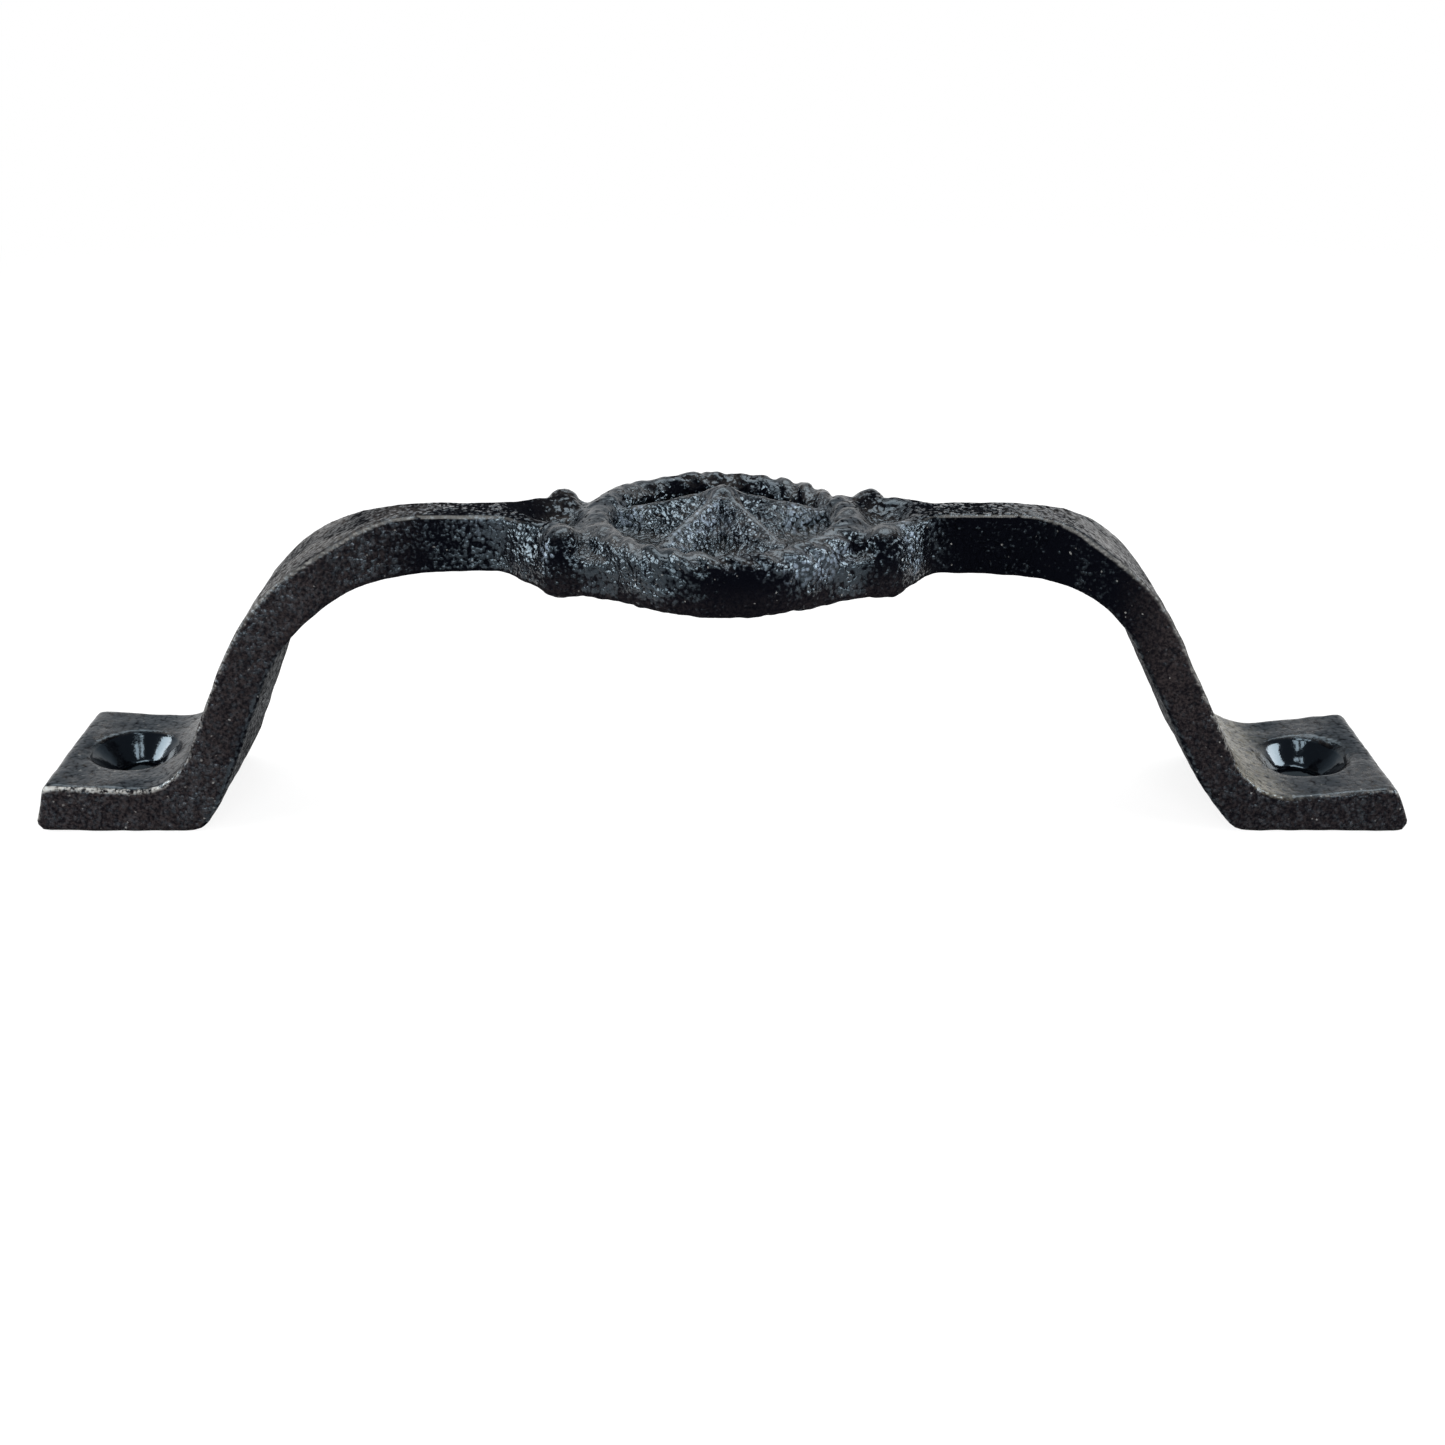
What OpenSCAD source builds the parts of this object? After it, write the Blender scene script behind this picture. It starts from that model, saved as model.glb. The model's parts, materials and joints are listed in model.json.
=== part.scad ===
// Door pull, sand-cast in one piece: two square feet, two curved legs, a narrow bar and a
// rope-edged medallion that carries a faceted five-pointed star.
// Frame: +X along the bar, +Z away from the door, origin under the middle on the mounting plane.

/* [Overall] */
// Length over the two feet, measured on the mounting plane
pull_length = 155; // [125:1:190]
// Height of the bar's top face above the mounting plane
bar_height = 34.8; // [28:0.2:46]
// Thickness of the bar's left half from top face to underside
left_bar_thickness = 6.4; // [4:0.1:8]
// Thickness of the bar's right half from top face to underside
right_bar_thickness = 6.7; // [4:0.1:8]
// Width of the bar at its narrowest
bar_width = 5; // [4:0.1:9]
// Rounding of the long edges
edge_r = 0.7; // [0.3:0.05:1]

/* [Feet] */
// Width of a foot
foot_width = 20; // [16:0.5:26]
// Height of the left foot at its outer end
left_toe_height = 5.9; // [4:0.1:8]
// Height of the right foot at its outer end
right_toe_height = 5.5; // [4:0.1:8]
// How far the left foot's outer end face leans inwards over its height
left_toe_lean = 1.3; // [0.8:0.1:3]
// How far the right foot's outer end face leans inwards over its height
right_toe_lean = 1.9; // [0.8:0.1:3]
// Rounding of a foot's lower outer corner
toe_r = 1.1; // [0.5:0.1:1.6]
// Height of the left foot's top face where the leg rises from it
left_instep_height = 5.2; // [3.5:0.1:7]
// Height of the right foot's top face where the leg rises from it
right_instep_height = 3.9; // [3.5:0.1:7]
// Radius between the left foot's top face and its leg
left_instep_r = 6.8; // [2:0.1:9]
// Radius between the right foot's top face and its leg
right_instep_r = 8; // [2:0.1:9]

/* [Screw holes] */
// Distance from the left foot's outer end to its screw hole's axis
left_hole_inset = 8.9; // [8:0.1:12]
// Distance from the right foot's outer end to its screw hole's axis
right_hole_inset = 9.7; // [8:0.1:12]
// Diameter of the plain screw hole
hole_d = 5.2; // [4:0.1:6.5]
// Diameter of the countersink at the foot's top face
countersink_d = 10.4; // [8:0.1:12]
// Included angle of the countersink
countersink_angle = 82; // [80:1:100]

/* [Legs] */
// Length of the left foot's top face, from its outer end to the leg
left_foot_length = 16.2; // [15:0.1:20]
// Length of the right foot's top face, from its outer end to the leg
right_foot_length = 17.9; // [15:0.1:20]
// Angle of the left leg above the mounting plane
left_lean = 67; // [55:0.5:75]
// Angle of the right leg above the mounting plane
right_lean = 63; // [55:0.5:75]
// Thickness of the left leg
left_leg_thickness = 5.1; // [4:0.1:8]
// Thickness of the right leg
right_leg_thickness = 4.6; // [4:0.1:8]
// Outer radius of the left shoulder
left_shoulder_r = 25.5; // [14:0.5:30]
// Outer radius of the right shoulder
right_shoulder_r = 20.5; // [14:0.5:30]
// Inner radius of the left shoulder
left_armpit_r = 18.5; // [8:0.5:24]
// Inner radius of the right shoulder
right_armpit_r = 13; // [8:0.5:24]
// Width of a leg just below its shoulder
shin_width = 14.5; // [10:0.5:20]
// Distance along X over which the foot's width narrows to the leg's
shin_run = 14; // [8:0.5:18]
// Distance along X over which the leg's width narrows to the bar's
shoulder_run = 12.5; // [8:0.5:18]
// Distance from the left foot's outer end to its heel, where the underside leaves the door
left_heel_inset = 19.3; // [16:0.1:24]
// Distance from the right foot's outer end to its heel
right_heel_inset = 19.4; // [16:0.1:24]
// Angle at which the underside leaves the door at the heel
heel_angle = 50; // [30:1:54]
// Radius between the heel and the leg's inner face
heel_r = 22; // [10:1:26]

/* [Medallion] */
// Diameter over the medallion's rope edge
ring_d = 30.8; // [26:0.2:38]
// Diameter of the rope's rounded section
rope_d = 2.8; // [2:0.1:4]
// How far the rope's crest lies below the bar's top face
crest_drop = 0.3; // [0:0.1:2]
// Depth of the dish below the rope's crest
dish_depth = 2.7; // [1.5:0.1:3.5]
// Thickness of the medallion from crest to underside
medallion_thickness = 6.4; // [5:0.1:8]
// How far the dish's wall leans in between the rope and the dish's floor
dish_wall_lean = 0.5; // [0.2:0.1:1]
// Number of strands that show around the rope
strand_count = 32; // [16:1:40]
// Depth of the groove between two strands
strand_depth = 0.35; // [0.2:0.05:0.6]
// Angle of the strands across the rope
strand_lay = 40; // [20:1:60]

/* [Star] */
// Distance from the star's centre to its inner corners
star_inner_r = 4.7; // [3.5:0.1:6]
// Height of the star's peak above the rope's crest
star_rise = 2.8; // [1:0.1:5]
// How far the star's tips lie below the rope's crest where they run into the rope
tip_drop = 0.9; // [0.6:0.1:1.6]

/* [Beads] */
// Diameter of a bead roll
bead_d = 3.5; // [2.5:0.1:5]
// Distance of the bead rolls' axes from the medallion's rope edge along X
bead_gap = 2; // [1.8:0.1:4]
// Distance between the front and the back bead roll
bead_pitch = 13.2; // [11:0.1:17]
// How far the back bead rolls sit to the left of the front ones
bead_shift = 0.8; // [0:0.1:1]
// Height of a bead roll's dome above the bar's top face
bead_rise = 0.3; // [0:0.1:1.5]
// How far a bead roll's lower end hangs below the medallion's underside
bead_hang = 0.3; // [0.1:0.1:2]
// Width of the collar that the beads stand on
collar_width = 14.2; // [11:0.1:18]
// Width of the collar's top face between the beads
collar_top_width = 9.6; // [6:0.1:12]
// Width of the saddle between the beads and the rope
saddle_width = 12; // [8:0.1:15]
// Distance along X over which the bar's left half flares into its collar at the beads
left_collar_run = 6; // [3:0.1:8]
// Distance along X over which the bar's right half flares into its collar at the beads
right_collar_run = 4.6; // [3:0.1:8]
// Depth of the saddle between the beads and the rope, below the bar's top face
saddle_depth = 1.2; // [0.8:0.1:2]
// Depth of the hollow between a front and a back bead, below the bar's top face
hollow_depth = 1.8; // [0.4:0.1:2.4]
// Width of that hollow where it meets the bar's top face
hollow_width = 7.2; // [5:0.1:9]

/* [Hidden] */
$fn = 96;
CORNER_STEPS = 2;
ARMS = 5;
LEFT = -1;
RIGHT = 1;

half_length = pull_length / 2;
crest_z = bar_height - crest_drop;
dish_z = crest_z - dish_depth;
medallion_z = crest_z - medallion_thickness;
rope_r = ring_d / 2 - rope_d / 2;
rope_inner_r = rope_r - rope_d / 2;
bead_x = ring_d / 2 + bead_gap;
bead_y = bead_pitch / 2;
flare_start = bead_x + bead_d / 2;
collar_belt = 2.2;
toe_edge = 0.3;
overlap = 0.4;

// One leg's own sizes, picked by its side
function foot_length(side) = side == LEFT ? left_foot_length : right_foot_length;
function toe_height(side) = side == LEFT ? left_toe_height : right_toe_height;
function toe_lean(side) = side == LEFT ? left_toe_lean : right_toe_lean;
function heel_x(side) = half_length - (side == LEFT ? left_heel_inset : right_heel_inset);
function hole_x(side) = half_length - (side == LEFT ? left_hole_inset : right_hole_inset);
function bar_underside(side) =
    bar_height - (side == LEFT ? left_bar_thickness : right_bar_thickness);
function instep_height(side) = side == LEFT ? left_instep_height : right_instep_height;
function instep_r(side) = side == LEFT ? left_instep_r : right_instep_r;
function lean(side) = side == LEFT ? left_lean : right_lean;
function leg_thickness(side) = side == LEFT ? left_leg_thickness : right_leg_thickness;
function shoulder_r(side) = side == LEFT ? left_shoulder_r : right_shoulder_r;
function armpit_r(side) = side == LEFT ? left_armpit_r : right_armpit_r;
function flare_end(side) =
    flare_start + (side == LEFT ? left_collar_run : right_collar_run);

// Where the straight stretches of the side profile would meet without their arcs
function instep_x(side) = half_length - foot_length(side);
function leg_top_x(side) =
    instep_x(side) - (bar_height - instep_height(side)) / tan(lean(side));
function leg_inner_x(side, z) =
    instep_x(side) + (instep_height(side) - z) / tan(lean(side))
    - leg_thickness(side) / sin(lean(side));
function foot_rise(side) =
    atan((toe_height(side) - instep_height(side)) / (foot_length(side) - toe_lean(side)));
function heel_corner_z(side) =
    (heel_x(side) - leg_inner_x(side, 0)) / (1 / tan(heel_angle) - 1 / tan(lean(side)));

// Height at x of two straight stretches joined by an arc of radius r. They meet at the corner
// [cx, cz]; a_in and a_out are their slopes on the side nearer to and further from the middle.
function bend_z(x, cx, cz, a_in, a_out, r) =
    let (turn = sign(a_out - a_in))
    let (reach = r * tan(abs(a_out - a_in) / 2))
    let (start_x = cx - reach * cos(a_in))
    let (end_x = cx + reach * cos(a_out))
    let (mid_x = start_x - turn * r * sin(a_in))
    let (mid_z = cz - reach * sin(a_in) + turn * r * cos(a_in))
    x <= start_x ? cz + (x - cx) * tan(a_in)
    : x >= end_x ? cz + (x - cx) * tan(a_out)
    : mid_z - turn * sqrt(r * r - pow(x - mid_x, 2));

// Side profile: height of the top face and of the underside at distance x from the middle
function toe_face_angle(side) = -atan((toe_height(side) - toe_r - toe_edge) / toe_lean(side));
function top_z(side, x) =
    let (leg_mid_x = (instep_x(side) + leg_top_x(side)) / 2)
    x < bead_x
    ? bar_height - saddle_depth * (1 - ramp(x, ring_d / 2, bead_x))
    : x < leg_mid_x
    ? bend_z(x, leg_top_x(side), bar_height, 0, -lean(side), shoulder_r(side))
    : x < half_length - foot_length(side) / 2
    ? bend_z(x, instep_x(side), instep_height(side), -lean(side), foot_rise(side),
        instep_r(side))
    : bend_z(x, half_length - toe_lean(side), toe_height(side), foot_rise(side),
        toe_face_angle(side), toe_r);

function under_z(side, x) =
    let (corner_z = heel_corner_z(side))
    let (corner_x = leg_inner_x(side, corner_z))
    let (bar_z = bar_underside(side))
    let (armpit_x = leg_inner_x(side, bar_z))
    x < flare_end(side)
    ? bar_z + (medallion_z - bar_z) * collar_flare(side, x)
    : x < (corner_x + armpit_x) / 2
    ? bend_z(x, armpit_x, bar_z, 0, -lean(side), armpit_r(side))
    : x < heel_x(side)
    ? max(0, bend_z(x, corner_x, corner_z, -lean(side), -heel_angle, heel_r))
    : x < half_length - toe_r
    ? 0
    : toe_r - sqrt(max(0, toe_r * toe_r - pow(x - half_length + toe_r, 2)));

// Plan: half the width at distance x from the middle, narrowing in smooth ramps
function ramp(x, low, high) =
    let (t = min(1, max(0, (x - low) / (high - low))))
    t * t * (3 - 2 * t);
function strap_half(side, x) =
    let (shin_x = instep_x(side) - shin_run)
    let (neck_x = shin_x - shoulder_run)
    let (corner = max(0, x - half_length + toe_r))
    bar_width / 2
    + (shin_width - bar_width) / 2 * ramp(x, neck_x, shin_x)
    + (foot_width - shin_width) / 2 * ramp(x, shin_x, instep_x(side))
    - (toe_r - sqrt(toe_r * toe_r - corner * corner));
function collar_flare(side, x) = 1 - ramp(x, flare_start, flare_end(side));
function top_half(side, x) =
    strap_half(side, x)
    + (collar_top_width - bar_width) / 2 * collar_flare(side, x)
    + (saddle_width - collar_top_width) / 2 * (1 - ramp(x, ring_d / 2, bead_x));
function belt_half(side, x) =
    strap_half(side, x) + (collar_width - bar_width) / 2 * collar_flare(side, x);

// One section of the strap at distance x: a rounded outline in the YZ plane, all its sections
// with as many points. The rounding is stretched where the strap is steep.
function steep(side, x) =
    let (step = 0.05)
    min(3, norm([step, top_z(side, x) - top_z(side, x - step)]) / step);
function quarter(y, z, r_y, r_z, start) =
    [for (k = [0 : CORNER_STEPS])
        let (a = start + 90 * k / CORNER_STEPS)
        [y + r_y * cos(a), z + r_z * sin(a)]];
function half_section(side, x) =
    let (top = top_z(side, x))
    let (under = under_z(side, x))
    let (r_z = min(edge_r * steep(side, x), 0.42 * (top - under)))
    let (belt_z = under + max(r_z, min(collar_belt, 0.5 * (top - under))) + 0.01)
    concat(
        quarter(belt_half(side, x) - edge_r, under + r_z, edge_r, r_z, -90),
        [[belt_half(side, x), belt_z]],
        quarter(top_half(side, x) - edge_r, top - r_z, edge_r, r_z, 0));
function flipped(points) =
    [for (i = [len(points) - 1 : -1 : 0]) [-points[i][0], points[i][1]]];
function section(side, x) =
    let (half = half_section(side, x))
    [for (p = concat(half, flipped(half))) [side * x, p[0], p[1]]];

// Distances from the middle at which the strap is cut into sections, closer where it bends
function spread(low, high, count) = [for (i = [0 : count - 1]) low + (high - low) * i / count];
function stations(side) =
    let (turn = lean(side) + foot_rise(side))
    let (rise_x = instep_x(side) + instep_r(side) * tan(turn / 2))
    let (toe_x = half_length - toe_lean(side) - toe_r)
    concat(
        [rope_inner_r + overlap],
        spread(ring_d / 2, flare_start, 5),
        spread(flare_start, flare_end(side), 6),
        spread(flare_end(side), heel_x(side), 26),
        spread(heel_x(side), rise_x, 10),
        spread(rise_x, toe_x, 2),
        spread(toe_x, half_length, 6),
        [half_length]);
function backwards(list) = [for (i = [len(list) - 1 : -1 : 0]) list[i]];

// One half of the strap, from inside the rope to the foot's outer end
module strap(side) {
    walk = stations(side);
    rings = [for (x = side == RIGHT ? walk : backwards(walk)) section(side, x)];
    count = len(rings[0]);
    last = len(rings) - 1;
    points = [for (ring = rings) for (p = ring) p];
    sides = [for (i = [0 : last - 1]) for (k = [0 : count - 1])
        let (a = i * count + k)
        let (b = i * count + (k + 1) % count)
        [a, a + count, b + count, b]];
    start_cap = [for (k = [0 : count - 1]) k];
    end_cap = [for (k = [count - 1 : -1 : 0]) last * count + k];
    polyhedron(points = points, faces = concat(sides, [start_cap, end_cap]), convexity = 6);
}

// Round hollow in the collar's top face between a front and a back bead
module hollow(side) {
    hollow_r = (pow(hollow_width / 2, 2) + pow(hollow_depth, 2)) / (2 * hollow_depth);
    translate([side * bead_x - bead_shift / 2, 0, bar_height - hollow_depth + hollow_r])
        sphere(hollow_r);
}

// Solid plate with a dished top inside a rounded rope edge
module medallion() {
    rope_z = crest_z - rope_d / 2;
    rim_r = ring_d / 2;
    wall_foot_r = rope_inner_r - dish_wall_lean;
    difference() {
        rotate_extrude() {
            translate([rope_r, rope_z]) circle(d = rope_d, $fn = 48);
            translate([rim_r - edge_r, medallion_z + edge_r]) circle(edge_r, $fn = 48);
            polygon([
                [0, medallion_z], [rim_r - edge_r, medallion_z], [rim_r, medallion_z + edge_r],
                [rim_r, rope_z], [rope_inner_r, rope_z], [wall_foot_r, dish_z], [0, dish_z]]);
        }
        strand_grooves(rope_z);
    }
}

// Slanting grooves that part the rope's strands
module strand_grooves(rope_z) {
    groove_r = rope_d / 2;
    for (i = [0 : strand_count - 1])
        rotate([0, 0, 360 * (i + 0.5) / strand_count])
            translate([rope_r, 0, rope_z + rope_d / 2 + groove_r - strand_depth])
                rotate([0, 90, strand_lay])
                    cylinder(r = groove_r, h = 2 * rope_d, center = true, $fn = 48);
}

// Five ridged arms that fall from the peak to the tips, with valleys between them, on a root
// that reaches down into the plate
module star() {
    arms = [0 : ARMS - 1];
    tip_r = rope_inner_r + overlap;
    root_z = medallion_z + overlap;
    points = concat(
        [[0, 0, crest_z + star_rise]],
        [for (i = arms) arm_point(i, tip_r, crest_z - tip_drop)],
        [for (i = arms) arm_point(i + 0.5, star_inner_r, dish_z - overlap)],
        [for (i = arms) arm_point(i, tip_r, root_z)],
        [for (i = arms) arm_point(i + 0.5, star_inner_r, root_z)]);
    right_faces = [for (i = arms) [0, valley(i), tip(i)]];
    left_faces = [for (i = arms) [0, tip(i + 1), valley(i)]];
    right_walls = [for (i = arms) [tip(i), valley(i), valley_root(i), tip_root(i)]];
    left_walls = [for (i = arms) [valley(i), tip(i + 1), tip_root(i + 1), valley_root(i)]];
    floor = [[for (i = arms) for (p = [tip_root(i), valley_root(i)]) p]];
    polyhedron(points = points, convexity = 4,
        faces = concat(right_faces, left_faces, right_walls, left_walls, floor));
}
function arm_point(i, r, z) =
    let (angle = 90 + 360 * i / ARMS)
    [r * cos(angle), r * sin(angle), z];
function tip(i) = 1 + i % ARMS;
function valley(i) = 1 + ARMS + i % ARMS;
function tip_root(i) = 1 + 2 * ARMS + i % ARMS;
function valley_root(i) = 1 + 3 * ARMS + i % ARMS;

// Upright roll with a domed top and a rounded lower end
module bead() {
    low_z = medallion_z - bead_hang;
    dome_z = bar_height + bead_rise - bead_d / 2;
    translate([0, 0, low_z + bead_d / 2]) sphere(d = bead_d, $fn = 48);
    translate([0, 0, low_z + bead_d / 2])
        cylinder(d = bead_d, h = dome_z - low_z - bead_d / 2, $fn = 48);
    translate([0, 0, dome_z]) sphere(d = bead_d, $fn = 48);
}

module beads() {
    for (side = [LEFT, RIGHT]) {
        translate([side * bead_x, -bead_y, 0]) bead();
        translate([side * bead_x - bead_shift, bead_y, 0]) bead();
    }
}

// Countersunk screw hole, its wide end on the foot's sloping top face
module screw_hole(side) {
    face_z = top_z(side, hole_x(side));
    sink_depth = (countersink_d - hole_d) / 2 / tan(countersink_angle / 2);
    clear = 1;
    flare = clear * tan(countersink_angle / 2);
    translate([side * hole_x(side), 0, 0]) {
        translate([0, 0, -clear]) cylinder(d = hole_d, h = face_z + 2 * clear);
        translate([0, 0, face_z - sink_depth])
            cylinder(d1 = hole_d, d2 = countersink_d + 2 * flare, h = sink_depth + clear);
    }
}

module pull_casting() {
    color("#2b2b2d")
        difference() {
            union() {
                for (side = [LEFT, RIGHT])
                    difference() {
                        strap(side);
                        hollow(side);
                    }
                medallion();
                star();
                beads();
            }
            for (side = [LEFT, RIGHT]) screw_hole(side);
        }
}

pull_casting();
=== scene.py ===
"""Cast door pull with a star medallion: its painted casting, a studio floor, lamps and camera.

The casting is shaped as one distance field in the model's own frame, in metres: the strap that
makes the feet, legs and bar, then the medallion, its rope edge, the star and the beads, each
melted into its neighbours as a casting's fillets do. The field is turned into a mesh, and the
mesh is roughened as sand-cast iron is.
"""

import json
from math import atan, cos, pi, radians, sin, sqrt, tan

import bpy
import numpy as np
from bpy.props import FloatProperty, FloatVectorProperty, IntProperty, PointerProperty
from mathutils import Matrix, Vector, noise


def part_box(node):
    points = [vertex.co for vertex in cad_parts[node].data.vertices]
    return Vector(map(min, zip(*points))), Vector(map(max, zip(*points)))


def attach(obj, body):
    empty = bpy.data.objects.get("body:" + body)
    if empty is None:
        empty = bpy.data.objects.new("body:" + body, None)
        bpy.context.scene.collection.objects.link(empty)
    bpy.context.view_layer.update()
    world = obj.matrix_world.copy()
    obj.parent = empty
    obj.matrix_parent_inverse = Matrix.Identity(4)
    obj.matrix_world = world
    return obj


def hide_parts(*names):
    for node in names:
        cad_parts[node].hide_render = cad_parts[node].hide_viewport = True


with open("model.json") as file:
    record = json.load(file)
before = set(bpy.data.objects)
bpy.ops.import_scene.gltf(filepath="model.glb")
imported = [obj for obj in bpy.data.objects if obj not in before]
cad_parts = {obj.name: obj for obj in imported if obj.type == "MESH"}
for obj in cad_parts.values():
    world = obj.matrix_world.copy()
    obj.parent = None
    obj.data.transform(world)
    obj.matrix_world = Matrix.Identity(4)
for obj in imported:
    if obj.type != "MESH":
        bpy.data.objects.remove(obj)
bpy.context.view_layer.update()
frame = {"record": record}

bl_info = {
    "name": "Cast Door Pull",
    "version": (1, 0, 0),
    "blender": (4, 5, 0),
    "location": "View3D > Sidebar > Door Pull",
    "description": "Builds a painted cast-iron door pull with a star medallion",
    "category": "Object",
}

MM = 0.001
CASTING = "pull_casting"
# The CAD casting's corner at the right, back and top; the casting lies about X = 0 and Y = 0
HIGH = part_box(CASTING)[1]
SCREWS = next(mount for mount in frame["record"]["mounts"] if mount["name"] == "screw_holes")
HALF_SPACING = SCREWS["dims"]["spacing_x_mm"] * MM / 2
LEFT, RIGHT = -1, 1


def length(name, description, default):
    """A size that a user can change, in metres."""
    return FloatProperty(name=name, description=description, default=default, unit="LENGTH")


def angle(name, description, default):
    """An angle that a user can change, given in degrees and kept in radians."""
    return FloatProperty(name=name, description=description, default=radians(default),
                         unit="ROTATION")


def tint(name, description, default):
    """A colour that a user can change."""
    return FloatVectorProperty(name=name, description=description, default=default,
                               subtype="COLOR", size=3, min=0, max=1)


def number(name, description, default):
    """A plain number that a user can change."""
    return FloatProperty(name=name, description=description, default=default)


def leg_sizes(class_name, values):
    """The property group of one leg; as cast, the two legs differ a little."""
    labels = {
        "toe_height": ("Toe height", "Height of the foot at its outer end", length),
        "toe_lean": ("Toe lean", "How far the foot's end face leans in", length),
        "instep_height": ("Instep height", "Height of the foot where the leg rises", length),
        "foot_length": ("Foot length", "Length of the foot's top face", length),
        "heel_inset": ("Heel inset", "From the foot's outer end to its heel", length),
        "leg_thickness": ("Leg thickness", "Thickness of the leg, seen from the side", length),
        "shoulder_r": ("Shoulder radius", "Outer radius where leg and bar meet", length),
        "armpit_r": ("Inner radius", "Inner radius where leg and bar meet", length),
        "instep_r": ("Instep radius", "Radius between foot and leg", length),
        "bar_thickness": ("Bar thickness", "From the bar's top face to its underside", length),
        "collar_run": ("Collar run", "Run of the bar's flare into the collar", length),
        "lean": ("Leg angle", "Angle of the leg above the door", angle),
    }
    fields = {key: make(label, words, values[key] * (MM if make is length else 1))
              for key, (label, words, make) in labels.items()}
    return type(class_name, (bpy.types.PropertyGroup,), {"__annotations__": fields})


LeftLegSizes = leg_sizes("LeftLegSizes", dict(
    toe_height=5.9, toe_lean=1.3, instep_height=5.2, foot_length=16.2, heel_inset=18.6,
    leg_thickness=5.1, shoulder_r=25.5, armpit_r=18.5, instep_r=6.8, bar_thickness=6.4,
    collar_run=6, lean=67))
RightLegSizes = leg_sizes("RightLegSizes", dict(
    toe_height=5.5, toe_lean=1.9, instep_height=3.9, foot_length=17.9, heel_inset=19.4,
    leg_thickness=4.6, shoulder_r=20.5, armpit_r=13, instep_r=8, bar_thickness=6.7,
    collar_run=4.6, lean=63))


class StrapSizes(bpy.types.PropertyGroup):
    """Feet, legs and bar."""
    bar_height: length("Bar height", "Height of the bar's top face", 34.8 * MM)
    bar_width: length("Bar width", "Width of the bar at its narrowest", 5 * MM)
    shin_width: length("Leg width", "Width of a leg below its shoulder", 14.5 * MM)
    foot_width: length("Foot width", "Width of a foot", 20.5 * MM)
    shin_run: length("Foot taper", "Run over which the foot narrows to the leg", 14 * MM)
    shoulder_run: length("Leg taper", "Run over which the leg narrows to the bar", 12.5 * MM)
    heel_r: length("Heel radius", "Radius between heel and leg", 22 * MM)
    heel_angle: angle("Heel angle", "Angle at which the underside leaves the door", 50)
    toe_r: length("Toe radius", "Rounding of a foot's lower corner", 1.1 * MM)
    edge_r: length("Edge radius", "Rounding of the long edges", 0.6 * MM)
    countersink_d: length("Countersink", "Diameter of the countersink", 10.4 * MM)
    countersink_angle: angle("Countersink angle", "Included angle of the countersink", 82)


class MedallionSizes(bpy.types.PropertyGroup):
    """Rope ring, dish, star and beads."""
    rope_d: length("Rope", "Diameter of the rope's section", 2.8 * MM)
    crest_drop: length("Crest drop", "Rope's crest below the bar's top", 0.3 * MM)
    dish_depth: length("Dish depth", "Dish floor below the rope's crest", 2.7 * MM)
    thickness: length("Thickness", "Medallion from crest to underside", 6.4 * MM)
    strands: IntProperty(name="Strands", description="Strands around the rope", default=30)
    strand_depth: length("Strand depth", "Depth of the rope's grooves", 0.6 * MM)
    strand_twist: number("Strand twist", "Strands crossed in a turn round the rope", 2.9)
    rim_bulge: length("Rim bulge", "How far the rim's wall bulges out at mid height", 0.8 * MM)
    rim_hang: length("Rim hang", "Rim's underside below the collar's", 0.45 * MM)
    star_inner_r: length("Star waist", "Star's centre to its inner corners", 4.7 * MM)
    tip_drop: length("Tip drop", "Star's tips below the rope's crest", 0.9 * MM)
    bead_d: length("Bead", "Diameter of a bead roll", 3.5 * MM)
    bead_gap: length("Bead gap", "Bead's axis from the rope's edge", 2 * MM)
    bead_pitch: length("Bead pitch", "Between front and back bead", 13.2 * MM)
    bead_shift: length("Bead shift", "Back beads to the left of the front ones", 0.8 * MM)
    bead_rise: length("Bead rise", "Bead's dome above the bar's top", 0.3 * MM)
    bead_hang: length("Bead hang", "Bead's end below the medallion", 0.3 * MM)
    collar_width: length("Collar width", "Width that the beads stand on", 14.2 * MM)
    collar_top_width: length("Collar top", "Width between the beads", 9.6 * MM)
    saddle_width: length("Saddle width", "Width between beads and rope", 12 * MM)
    saddle_depth: length("Saddle depth", "Saddle at the rope, below the bar's top", 1.2 * MM)
    hollow_depth: length("Hollow depth", "Hollow between beads, below the bar's top", 1.9 * MM)
    hollow_width: length("Hollow width", "Width of the hollow at the bar's top", 7.2 * MM)


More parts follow.
